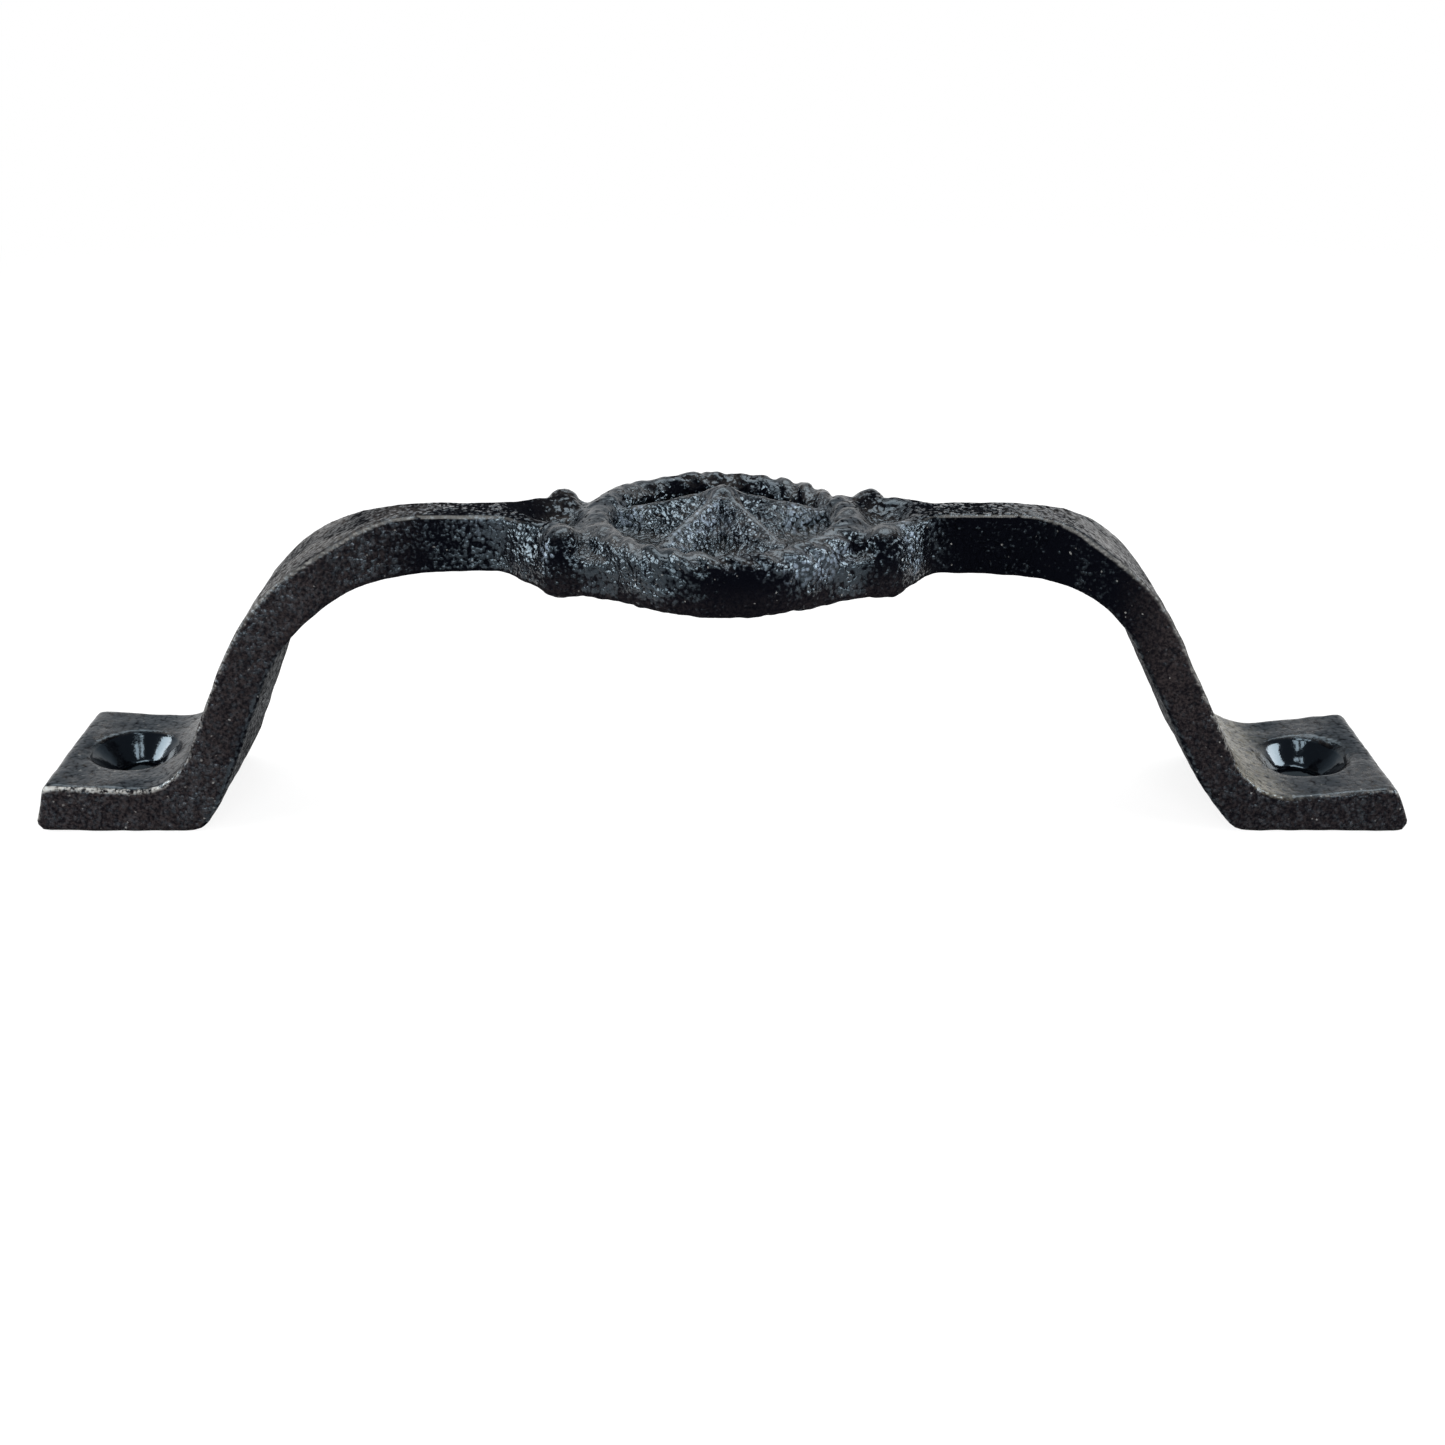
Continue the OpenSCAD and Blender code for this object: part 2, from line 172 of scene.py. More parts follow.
class CastingLooks(bpy.types.PropertyGroup):
    """Roughness of the casting and its paint."""
    cell: length("Mesh cell", "Spacing of the mesh at the medallion", 0.275 * MM)
    fillet: length("Fillet", "Radius of the fillets between features", 0.9 * MM)
    wander: length("Wander", "Depth of the slow waves in the faces", 0.11 * MM)
    lump: length("Lumps", "Height of the lumps left by the sand", 0.08 * MM)
    grain: length("Grain", "Height of the coarse grain", 0.06 * MM)
    pebble_height: length("Pebble height", "Height of the fine pebbles", 0.26 * MM)
    lump_height: length("Fine lumps", "Height of the lumps between the pebbles", 0.3 * MM)
    sand_height: length("Sand height", "Height of the sand's grain", 0.1 * MM)
    paint: tint("Paint", "Colour of the clean paint", (0.0009, 0.001, 0.0018))
    dust: tint("Dust", "Colour of the dust on the top faces", (0.055, 0.05, 0.046))
    # Partly paint rubbed on the grains' tops and partly painted highlight: it lightens the glossy
    # grains' tops and paints bright specks at the highlight spots.
    frost_and_glint: tint("Frost", "Colour of the paint that is rubbed on the grains' tops",
                (0.09, 0.112, 0.142))
    soil: tint("Soil", "Colour of the legs' matte sides", (0.014, 0.0115, 0.0118))
    grease: tint("Grease", "Colour of the film on the right foot's instep", (0.12, 0.11, 0.085))
    # Bare metal at chips and flecks, and also a painted edge highlight: a light line along the
    # front top edges and on edges that tilt up.
    wear_and_edge_highlight: tint("Wear", "Colour of worn edges and specks", (0.24, 0.24, 0.23))
    sheen: tint("Sheen", "Tint of the paint's reflections", (0.66, 0.86, 1))
    gloss: number("Roughness", "Roughness of the smooth paint", 0.13)


class StageLooks(bpy.types.PropertyGroup):
    """Floor, lamps and camera."""
    floor: tint("Floor", "Colour of the floor", (0.86, 0.86, 0.86))
    camera_height: length("Camera height", "Camera above the door plane", 98.097 * MM)
    camera_back: length("Camera distance", "Camera in front of the pull", 189.246 * MM)
    camera_pitch: angle("Camera pitch", "How far the camera looks down", 25.224)
    lens: FloatProperty(name="Lens", description="Focal length for a 36 mm sensor, in mm",
                        default=44.84, unit="CAMERA")


def ramp(x, low, high):
    """Smooth step from 0 at low to 1 at high."""
    t = np.clip((x - low) / (high - low), 0, 1)
    return t * t * (3 - 2 * t)


def bend(x, corner_x, corner_z, slope_in, slope_out, r):
    """Height at x of two straight stretches that an arc of radius r joins at a corner."""
    turn = np.sign(slope_out - slope_in)
    reach = r * tan(abs(slope_out - slope_in) / 2)
    start_x = corner_x - reach * cos(slope_in)
    end_x = corner_x + reach * cos(slope_out)
    mid_x = start_x - turn * r * sin(slope_in)
    mid_z = corner_z - reach * sin(slope_in) + turn * r * cos(slope_in)
    arc = mid_z - turn * np.sqrt(np.maximum(r * r - (x - mid_x) ** 2, 0))
    return np.where(x <= start_x, corner_z + (x - corner_x) * tan(slope_in),
                    np.where(x >= end_x, corner_z + (x - corner_x) * tan(slope_out), arc))


def melt(a, b, r):
    """Union of two distance fields with a fillet of about radius r."""
    h = np.clip(0.5 + 0.5 * (b - a) / r, 0, 1)
    return b + (a - b) * h - r * h * (1 - h)


def carve(a, b, r):
    """Distance field a less b, with the rim rounded to about radius r."""
    return -melt(-a, b, r)


def box_of(a, b, r):
    """Where the fields a and b overlap, with the edge between them rounded to radius r."""
    a, b = a + r, b + r
    return np.minimum(np.maximum(a, b), 0) + np.hypot(np.maximum(a, 0), np.maximum(b, 0)) - r


# Stretches of the ring whose strands show: middle and spread in degrees, and how clearly
CLEAR_STRANDS = ((42, 30, 0.75), (100, 9, 0.4), (252, 38, 0.7), (324, 26, 0.8))
# Keeps a field whose slope is a little over 1 from running ahead of the true distance
SLOPE_GUARD = 0.9


class Pull:
    """Distance field of the casting, worked out from the sizes in the scene."""

    def __init__(self, scene):
        self.strap = scene.pull_strap
        self.disc = scene.pull_medallion
        self.looks = scene.pull_casting_looks
        self.legs = {LEFT: scene.pull_left_leg, RIGHT: scene.pull_right_leg}
        self.half_length = HIGH.x
        self.rim_r = HIGH.y
        self.crest_z = self.strap.bar_height - self.disc.crest_drop
        self.dish_z = self.crest_z - self.disc.dish_depth
        self.under_z = self.crest_z - self.disc.thickness
        self.rope_r = self.rim_r - self.disc.rope_d / 2 - 0.2 * MM
        self.rope_z = self.crest_z - self.disc.rope_d / 2
        self.bead_x = self.rim_r + self.disc.bead_gap
        self.flare_start = self.bead_x + self.disc.bead_d / 2

    def collar_flare(self, side, x):
        """How far the bar has widened into its collar at distance x from the middle."""
        return 1 - ramp(x, self.flare_start, self.flare_start + self.legs[side].collar_run)

    def top_z(self, side, x):
        """Height of the top face at distance x from the middle."""
        strap, leg = self.strap, self.legs[side]
        instep_x = self.half_length - leg.foot_length
        leg_top_x = instep_x - (strap.bar_height - leg.instep_height) / tan(leg.lean)
        foot_rise = atan((leg.toe_height - leg.instep_height) / (leg.foot_length - leg.toe_lean))
        toe_edge = 0.3 * MM
        toe_face = -atan((leg.toe_height - strap.toe_r - toe_edge) / leg.toe_lean)
        saddle = strap.bar_height - self.disc.saddle_depth * (1 - ramp(x, self.rim_r, self.bead_x))
        shoulder = bend(x, leg_top_x, strap.bar_height, 0, -leg.lean, leg.shoulder_r)
        instep = bend(x, instep_x, leg.instep_height, -leg.lean, foot_rise, leg.instep_r)
        toe = bend(x, self.half_length - leg.toe_lean, leg.toe_height, foot_rise, toe_face,
                   strap.toe_r)
        return np.where(x < self.bead_x, saddle,
                        np.where(x < (instep_x + leg_top_x) / 2, shoulder,
                                 np.where(x < self.half_length - leg.foot_length / 2, instep,
                                          toe)))

    def under(self, side, x):
        """Height of the underside at distance x from the middle."""
        strap, leg = self.strap, self.legs[side]
        instep_x = self.half_length - leg.foot_length

        def inner_x(z):
            slant = (leg.instep_height - z) / tan(leg.lean)
            return instep_x + slant - leg.leg_thickness / sin(leg.lean)

        heel_x = self.half_length - leg.heel_inset
        corner_z = (heel_x - inner_x(0)) / (1 / tan(strap.heel_angle) - 1 / tan(leg.lean))
        corner_x = inner_x(corner_z)
        bar_z = strap.bar_height - leg.bar_thickness
        armpit_x = inner_x(bar_z)
        bar = bar_z + (self.under_z - bar_z) * self.collar_flare(side, x)
        sag_x, sag_run, sag_depth = 36 * MM, 4 * MM, 0.5 * MM
        sag = sag_depth * np.exp(-((x - sag_x) / sag_run) ** 2)
        armpit = bend(x, armpit_x, bar_z, 0, -leg.lean, leg.armpit_r) - sag
        heel = bend(x, corner_x, corner_z, -leg.lean, -strap.heel_angle, strap.heel_r)
        heel_edge = 1.2 * MM
        past_heel_x = heel_x + 2 * MM
        toe_r = strap.toe_r
        corner = np.maximum(x - self.half_length + toe_r, 0)
        toe = toe_r - np.sqrt(np.maximum(toe_r ** 2 - corner ** 2, 0))
        return np.where(x < self.flare_start + leg.collar_run, bar,
                        np.where(x < (corner_x + armpit_x) / 2, armpit,
                                 np.where(x < past_heel_x, -melt(-heel, 0, heel_edge), toe)))

    def outline(self, side):
        """Closed outline of one half's side profile, carried a little past the middle."""
        overlap, bend_step, toe_step = 4 * MM, 0.35 * MM, 0.08 * MM
        toe_x = self.half_length - 3 * MM
        x = np.concatenate([np.arange(-overlap, toe_x, bend_step),
                            np.arange(toe_x, self.half_length, toe_step), [self.half_length]])
        top = np.stack([x, self.top_z(side, x)], 1)
        under = np.stack([x, self.under(side, x)], 1)
        return np.concatenate([top, under[::-1]])

    def profile_field(self, side, x, z):
        """Signed distance to one half's side profile on a grid of x by z."""
        line = self.outline(side)
        start, end = line, np.roll(line, -1, 0)
        step = end - start
        tiny = 1e-18
        size = np.maximum((step ** 2).sum(1), tiny)
        top, under = self.top_z(side, x), self.under(side, x)
        field = np.empty((len(x), len(z)))
        for i, at in enumerate(x):
            point = np.stack([np.full(len(z), at), z], 1)[:, None] - start
            t = np.clip((point * step).sum(2) / size, 0, 1)
            gap = np.sqrt(((point - t[:, :, None] * step) ** 2).sum(2).min(1))
            solid = (z < top[i]) & (z > under[i]) & (at < self.half_length)
            field[i] = np.where(solid, -gap, gap)
        return field

    def strap_field(self, side, x, y, z):
        """Feet, leg and bar of one half, at distances x from the middle."""
        strap, leg, disc = self.strap, self.legs[side], self.disc
        shin_x = self.half_length - leg.foot_length - strap.shin_run
        neck_x = shin_x - strap.shoulder_run
        widths = (strap.bar_width
                  + (strap.shin_width - strap.bar_width) * ramp(x, neck_x, shin_x)
                  + (strap.foot_width - strap.shin_width)
                  * ramp(x, shin_x, shin_x + strap.shin_run))
        flare = self.collar_flare(side, x)
        saddle = 1 - ramp(x, self.rim_r, self.bead_x)
        top_w = (widths + (disc.collar_top_width - strap.bar_width) * flare
                 + (disc.saddle_width - disc.collar_top_width) * saddle)
        belt_w = widths + (disc.collar_width - strap.bar_width) * flare
        slope = np.gradient(widths, x) / 2
        top, under = self.top_z(side, x), self.under(side, x)
        belt_rise = 2.2 * MM
        belt_z = under + np.minimum(belt_rise, 0.5 * (top - under))
        share = np.clip((z[None] - belt_z[:, None]) / (top - belt_z)[:, None], 0, 1)
        half = (belt_w[:, None] + (top_w - belt_w)[:, None] * share) / 2
        lean = (belt_w - top_w) / 2 / (top - belt_z)
        steepness = np.sqrt(1 + slope ** 2 + lean ** 2)[:, None, None]
        sides = (np.abs(y)[None, :, None] - half[:, None, :]) / steepness
        return box_of(self.profile_field(side, x, z)[:, None, :], sides, strap.edge_r)

    def screw_hole(self, side, x, y, z):
        """Countersunk hole of one foot, at distances x from the middle."""
        strap = self.strap
        at = HALF_SPACING + side * SCREWS["pos_m"][0]
        face_z = float(self.top_z(side, np.array([at]))[0])
        half_angle = strap.countersink_angle / 2
        around = np.hypot(x - at, y)
        drill = around - SCREWS["dims"]["hole_r_mm"] * MM
        cone = (around - strap.countersink_d / 2 - (z - face_z) * tan(half_angle)) * cos(half_angle)
        return np.minimum(np.maximum(drill, -cone), cone)

    def rope_field(self, x, y, z):
        """Rope edge: a ring whose strands lie slantwise, softened by paint."""
        disc = self.disc
        around = np.arctan2(y, x)
        out = np.hypot(x, y) - self.rope_r
        up = z - self.rope_z
        uneven = 0.35 * np.sin(5 * around)
        phase = disc.strands * around + disc.strand_twist * np.arctan2(up, out) + uneven
        groove = (0.5 + 0.5 * np.cos(phase)) ** 1.5
        clear = 0.1 + sum(share * self.stretch(around, middle, spread)
                          for middle, spread, share in CLEAR_STRANDS)
        swell = MM * (0.3 - 0.38 * self.stretch(around, 270, 28)
                      + 0.07 * np.sin(3 * around + 0.6) + 0.05 * np.sin(7 * around + 2))
        depth = disc.strand_depth * clear * (groove - 0.4)
        return (np.hypot(out, up) - disc.rope_d / 2 + depth - swell) * SLOPE_GUARD

    @staticmethod
    def stretch(around, middle, spread):
        """Soft mask of a stretch of the ring, from its middle and spread in degrees."""
        turn = np.mod(around - radians(middle) + pi, 2 * pi) - pi
        return np.exp(-(turn / radians(spread)) ** 2)

    def star_field(self, x, y, z):
        """Five ridged arms that fall from the peak to the rope."""
        disc = self.disc
        around = np.hypot(x, y)
        fold = 2 * pi / 5
        turned = np.arctan2(y, x) - pi / 2 + fold / 2
        off = np.mod(turned, fold) - fold / 2
        ridge_r = 0.45 * MM
        along = around * np.cos(off)
        across = np.sqrt((around * np.sin(off)) ** 2 + ridge_r ** 2) - ridge_r
        peak_z = HIGH.z
        tip_r = self.rope_r - disc.rope_d / 2
        tip_z = self.crest_z - disc.tip_drop
        fall = (peak_z - tip_z) / tip_r
        waist_u = disc.star_inner_r * cos(fold / 2)
        waist_v = disc.star_inner_r * sin(fold / 2)
        flank = (peak_z - fall * waist_u - self.dish_z) / waist_v
        height = peak_z - fall * along - flank * across
        roof = (z - height) / sqrt(1 + fall ** 2 + flank ** 2)
        root_z = self.under_z + 1 * MM
        inner = np.maximum(around - self.rope_r, root_z - z)
        knob_r = 1.9 * MM
        knob = np.sqrt(x ** 2 + y ** 2 + (z - peak_z + knob_r) ** 2) - knob_r
        star = melt(np.maximum(roof, inner), knob, self.looks.fillet)
        crack_y, crack_run, crack_half, crack_depth = -4.9 * MM, 3.3 * MM, 0.14 * MM, 0.45 * MM
        wander = 0.12 * MM * np.sin(y / (1.1 * MM))
        crack = np.maximum(np.abs(x - wander) - crack_half, np.abs(y - crack_y) - crack_run)
        return carve(star, np.maximum(crack, height - crack_depth - z), 0.1 * MM)

    def disc_field(self, x, y, z):
        """Round plate with its dished top."""
        r = self.strap.edge_r
        around = np.hypot(x, y)
        low_z = self.under_z - self.disc.rim_hang
        mid_z = (low_z + self.rope_z) / 2
        belly = self.rim_r - self.disc.rim_bulge * ((z - mid_z) / (mid_z - low_z)) ** 2
        guard = 0.95
        wall = (around - belly) * guard
        plate = box_of(box_of(wall, z - self.rope_z, r), low_z - z, 1.4 * r)
        wall_r = self.rope_r - self.disc.rope_d / 2
        dish = np.maximum(around - wall_r, self.dish_z - z)
        return carve(plate, dish, self.looks.fillet / 2)

    def hollow_field(self, x, y, z):
        """Round hollows in the collar's top face, each between a front and a back bead."""
        disc = self.disc
        r = ((disc.hollow_width / 2) ** 2 + disc.hollow_depth ** 2) / (2 * disc.hollow_depth)
        along = np.abs(x + disc.bead_shift / 2) - self.bead_x
        up = z - self.strap.bar_height + disc.hollow_depth - r
        return np.sqrt(along ** 2 + y ** 2 + up ** 2) - r

    def bead_field(self, x, y, z):
        """Four upright rolls with domed tops."""
        disc = self.disc
        r = disc.bead_d / 2
        low = self.under_z - disc.bead_hang + r
        high = self.strap.bar_height + disc.bead_rise - r
        up = z - np.clip(z, low, high)
        field = None
        for side in (LEFT, RIGHT):
            for edge, shift in ((-1, 0), (1, -disc.bead_shift)):
                out = np.hypot(x - side * self.bead_x - shift, y - edge * disc.bead_pitch / 2)
                bead = np.hypot(out, up) - r
                field = bead if field is None else np.minimum(field, bead)
        return field

    def web_field(self, x, y, z):
        """Low walls that join each bead to the rim."""
        disc = self.disc
        r = 0.85 * disc.bead_d / 2
        foot_of_web = (0.74, 0.56)
        rim_x, rim_y = (share * self.rim_r for share in foot_of_web)
        drop = 2.2 * MM
        high, low = self.crest_z - drop, self.under_z - disc.rim_hang / 2
        ends = np.maximum(z - high, low - z)
        field = None
        for side in (LEFT, RIGHT):
            for edge, shift in ((-1, 0), (1, -disc.bead_shift)):
                bead_x, bead_y = side * self.bead_x + shift, edge * disc.bead_pitch / 2
                run_x, run_y = side * rim_x - bead_x, edge * rim_y - bead_y
                share = ((x - bead_x) * run_x + (y - bead_y) * run_y) / (run_x ** 2 + run_y ** 2)
                share = np.clip(share, 0, 1)
                away = np.hypot(x - bead_x - share * run_x, y - bead_y - share * run_y) - r
                web = box_of(away, ends, r / 2)
                field = web if field is None else np.minimum(field, web)
        return field

    def grid(self):
        """Grid lines along X, Y and Z, close at the medallion and wider at the legs."""
        cell = self.looks.cell
        margin = 1.2 * MM
        widening = 0.9 * cell
        reach = self.flare_start + 2 * MM
        blend = 10 * MM
        depth = 6 * MM

        def lines(low, high, spacing):
            steps = [low]
            while steps[-1] < high:
                steps.append(steps[-1] + spacing(steps[-1]))
            return np.array(steps)

        def along_x(at):
            closer_at_crack = 0.4 * cell * (1 - float(ramp(abs(at), 0.3 * MM, 1.2 * MM)))
            return cell + widening * float(ramp(abs(at), reach, reach + blend)) - closer_at_crack

        def along_z(at):
            return cell + widening * (1 - float(ramp(at, self.under_z - depth, self.under_z)))

        half = lines(0, self.half_length + margin, along_x)
        xs = np.concatenate([-half[:0:-1], half])
        ys = lines(-self.rim_r - margin, self.rim_r + margin, lambda at: cell * 1.05)
        zs = lines(-margin, HIGH.z + margin, along_z)
        return xs, ys, zs

    def half_field(self, side, away, ys, zs):
        """Strap and screw hole of one half, at rising distances from the middle."""
        solid = self.strap_field(side, away, ys, zs)
        hole_reach = 16 * MM
        foot = away > self.half_length - hole_reach
        x, y, z = np.meshgrid(away[foot], ys, zs, indexing="ij", sparse=True)
        solid[foot] = carve(solid[foot], self.screw_hole(side, x, y, z), 0.25 * MM)
        return solid

    def field(self, xs, ys, zs):
        """The whole casting on a grid, in metres, negative inside."""
        fillet = self.looks.fillet
        left = self.half_field(LEFT, -xs[xs < 0][::-1], ys, zs)[::-1]
        whole = np.concatenate([left, self.half_field(RIGHT, xs[xs >= 0], ys, zs)])
        past_flare = 8 * MM
        near = np.abs(xs) < self.flare_start + past_flare
        x, y, z = np.meshgrid(xs[near], ys, zs, indexing="ij", sparse=True)
        medallion = melt(self.disc_field(x, y, z), self.rope_field(x, y, z), 1.3 * fillet)
        medallion = melt(medallion, self.star_field(x, y, z), fillet)
        medallion = melt(medallion, self.web_field(x, y, z), fillet)
        bar = np.maximum(whole[near], self.rope_r - np.hypot(x, y))
        bar = carve(bar, self.hollow_field(x, y, z), fillet)
        whole[near] = melt(melt(bar, medallion, 2 * fillet), self.bead_field(x, y, z), 2 * fillet)
        return whole


def surface_net(lines, field):
    """Points and quads of the surface where a field on a grid of three lines changes sign."""
    inside = field < 0
    quads, points = [], []
    for axis in range(3):
        b, c = (axis + 1) % 3, (axis + 2) % 3
        low = tuple(slice(0, -1) if k == axis else slice(None) for k in range(3))
        high = tuple(slice(1, None) if k == axis else slice(None) for k in range(3))
        at = np.argwhere(inside[low] != inside[high])
        start, end = field[low][tuple(at.T)], field[high][tuple(at.T)]
        point = np.stack([lines[k][at[:, k]] for k in range(3)], 1)
        point[:, axis] += np.diff(lines[axis])[at[:, axis]] * start / (start - end)
        corners = []
        for back_b, back_c in ((1, 1), (0, 1), (0, 0), (1, 0)):
            cell = at.copy()
            cell[:, b] -= back_b
            cell[:, c] -= back_c
            corners.append(np.ravel_multi_index(tuple(cell.T), field.shape))
        quad = np.stack(corners, 1)
        quad[start > 0] = quad[start > 0, ::-1]
        quads.append(quad)
        points.append(point)
    quads, points = np.concatenate(quads), np.concatenate(points)
    place = np.unique(quads, return_inverse=True)[1].reshape(-1)
    count = np.bincount(place)
    net = [np.bincount(place, np.repeat(points[:, k], 4)) / count for k in range(3)]
    return np.stack(net, 1), place.reshape(-1, 4)


def new_mesh(name, points, faces):
    """A smooth-shaded mesh object."""
    mesh = bpy.data.meshes.new(name)
    mesh.from_pydata(points.tolist(), [], faces.tolist())
    mesh.shade_smooth()
    piece = bpy.data.objects.new(name, mesh)
    bpy.context.scene.collection.objects.link(piece)
    return piece


def ridges(points, normals, faces):
    """How sharply a surface bulges at each point, in radians per millimetre, or 0 in hollows."""
    start, end = np.concatenate([faces[:, [k, (k + 1) % 4]] for k in range(4)]).T
    gap = points[start] - points[end]
    bulge = ((normals[start] - normals[end]) * gap).sum(1) / (gap ** 2).sum(1) * MM
    both = np.concatenate([start, end])
    return np.maximum(np.bincount(both, np.tile(bulge, 2)) / np.bincount(both), 0)


# Places where the casting stands high or has sunk: centre, reach and height in millimetres
SWELLS = (((11, 9, 34.5), 7, -0.4), ((11, -9.5, 27.5), 6, -0.4), ((5, 12, 34.5), 5, -0.15),
          ((-14.5, 9, 34), 5, 0.2))


def bar_crown(points):
    """Height of the bar's crown, which is higher along the right half's front edge."""
    x, y, z = points.T
    run = ramp(np.abs(x), 20 * MM, 25 * MM) * (1 - ramp(np.abs(x), 36 * MM, 46 * MM))
    right_front = (x > 0) * ramp(-y, 0, 4 * MM)
    return run * ramp(z, 30.5 * MM, 34 * MM) * (0.25 + 0.3 * right_front) * MM


def swell(points, centre, reach, height):
    """Height of one swell at each point."""
    away = np.linalg.norm(points - np.array(centre) * MM, axis=1)
    return (1 - ramp(away, 0.2 * reach * MM, reach * MM)) * height * MM


def rough_casting(points, normals, looks):
    """Moves a surface's points as sand, shrinkage and paint leave a casting."""
    rise = bar_crown(points) + sum(swell(points, *item) for item in SWELLS)
    points = points + np.outer(rise, (0, 0, 1))
    wave_size, lump_size, grain_size = 9 * MM, 2.3 * MM, 0.95 * MM
    lump_start, grain_start = Vector((7, 3, 1)), Vector((2, 9, 4))
    moved = []
    for point, normal in zip(points, normals):
        at = Vector(point)
        wave = noise.noise(at / wave_size)
        lump = noise.noise(at / lump_size + lump_start)
        grain = noise.noise(at / grain_size + grain_start)
        near = 1 - float(ramp(abs(point[0]), 19 * MM, 27 * MM))
        side = 1 - 0.7 * abs(normal[2]) * (1 - near)
        out = looks.wander * wave + (looks.lump * lump + looks.grain * grain * side) * (1 + near)
        moved.append(point + normal * out)
    moved = np.array(moved)
    moved[:, 2] = np.maximum(moved[:, 2], 0)
    return moved


class Wire:
    """A node's output, with Python's operators for numbers."""

    def __init__(self, shader, socket):
        self.shader = shader
        self.socket = socket

    def math(self, operation, *values):
        """The output of a Math node."""
        return self.shader.add("ShaderNodeMath", {"operation": operation},
                               dict(enumerate(values)))

    def __add__(self, other):
        return self.math("ADD", self, other)

    def __radd__(self, other):
        return self.math("ADD", other, self)

    def __sub__(self, other):
        return self.math("SUBTRACT", self, other)

    def __rsub__(self, other):
        return self.math("SUBTRACT", other, self)

    def __mul__(self, other):
        return self.math("MULTIPLY", self, other)

    def __rmul__(self, other):
        return self.math("MULTIPLY", other, self)

    def __truediv__(self, other):
        return self.math("DIVIDE", self, other)

    def __rtruediv__(self, other):
        return self.math("DIVIDE", other, self)

    def __pow__(self, other):
        return self.math("POWER", self, other)

    def __rpow__(self, other):
        return self.math("POWER", other, self)

    def __neg__(self):
        return self.math("MULTIPLY", self, -1)

    def __abs__(self):
        return self.math("ABSOLUTE", self)

    def maximum(self, other):
        """The larger of two numbers."""
        return self.math("MAXIMUM", self, other)

    def diagonal(self, other):
        """Length of the diagonal over two numbers."""
        return (self * self + other * other) ** 0.5

    def step(self, low, high, start=0, end=1):
        """Smooth step from start at low to end at high."""
        return self.shader.add("ShaderNodeMapRange", {"interpolation_type": "SMOOTHSTEP"},
                               {0: self, 1: low, 2: high, 3: start, 4: end})


class Shader:
    """A node tree that is being filled, of a material or of the world."""

    def __init__(self, tree):
        self.tree = tree
        self.tree.nodes.clear()

    def add(self, kind, settings=None, values=None, output=0):
        """Adds a node with its settings, then its sockets' values or links."""
        node = self.tree.nodes.new(kind)
        for key, value in (settings or {}).items():
            setattr(node, key, value)
        for key, value in (values or {}).items():
            if isinstance(value, Wire):
                self.tree.links.new(value.socket, node.inputs[key])
            else:
                node.inputs[key].default_value = value
        return Wire(self, node.outputs[output] if node.outputs else None)

    def mix_colour(self, share, low, high):
        """Colour between low and high."""
        return self.add("ShaderNodeMix", {"data_type": "RGBA"}, {0: share, 6: low, 7: high}, 2)

    def scaled(self, vector, factor):
        """A vector times a number."""
        return self.add("ShaderNodeVectorMath", {"operation": "SCALE"}, {0: vector, 3: factor})

    def stretched(self, vector, factors):
        """A vector with each of its axes times its own factor."""
        return self.add("ShaderNodeVectorMath", {"operation": "MULTIPLY"}, {0: vector, 1: factors})

    def axes(self, vector):
        """The three numbers of a vector."""
        split = self.add("ShaderNodeSeparateXYZ", {}, {0: vector}).socket.node
        return [Wire(self, socket) for socket in split.outputs]

    def noise(self, place, size, detail=2.0, roughness=0.5, output=0):
        """Soft noise whose lumps are about size across."""
        return self.add("ShaderNodeTexNoise", {"normalize": True},
                        {"Vector": place, "Scale": 1 / size, "Detail": detail,
                         "Roughness": roughness}, output)

    def cells(self, place, size):
        """Distance from points that lie about size apart, as a share of size."""
        return self.add("ShaderNodeTexVoronoi", {"feature": "F1"},
                        {"Vector": place, "Scale": 1 / size})

    def pebbles(self, place, size):
        """Height of packed domes about size across."""
        cells = self.cells(place, size)
        return 1 - cells * cells

    def spots(self, place, items):
        """Sum of soft round spots, each given as its centre, radius and strength."""
        total = 0
        for centre, radius, strength in items:
            away = self.add("ShaderNodeVectorMath", {"operation": "DISTANCE"},
                            {0: place, 1: centre}, 1)
            total = total + away.step(0.3 * radius, radius, strength, 0)
        return total

    def bump(self, height, distance):
        """Normal of a surface raised by height times distance."""
        return self.add("ShaderNodeBump", {},
                        {"Height": height, "Distance": distance, "Strength": 1.0})


# Places where the paint is glossier and painted highlights go, and places where it is duller and
# darker as painted shade: centre and reach in millimetres, and strength
GLOSS_AND_HIGHLIGHT_SPOTS = (((-1.9, -3.4, 35.4), 3.6, 2.0), ((-4.5, -7.1, 34.1), 3.2, 1.0),
             ((8.1, -13.1, 32.8), 2.6, 1.3), ((10.8, -11, 32.5), 2.6, 1.3),
             ((12.7, -8.7, 33.1), 2, 1.2), ((8.7, 1.9, 33), 3.5, 1.8),
             ((-10, 2.8, 33.4), 3, 1.3), ((18.7, -3.4, 34.8), 1.8, 1.4),
             ((20, -4.8, 33.6), 1.8, 2.0), ((20.9, -5.4, 30.9), 2, 1.4),
             ((-18.7, -7.7, 32.9), 1.6, 1.4), ((-26.5, -5, 34.2), 4, 0.6))
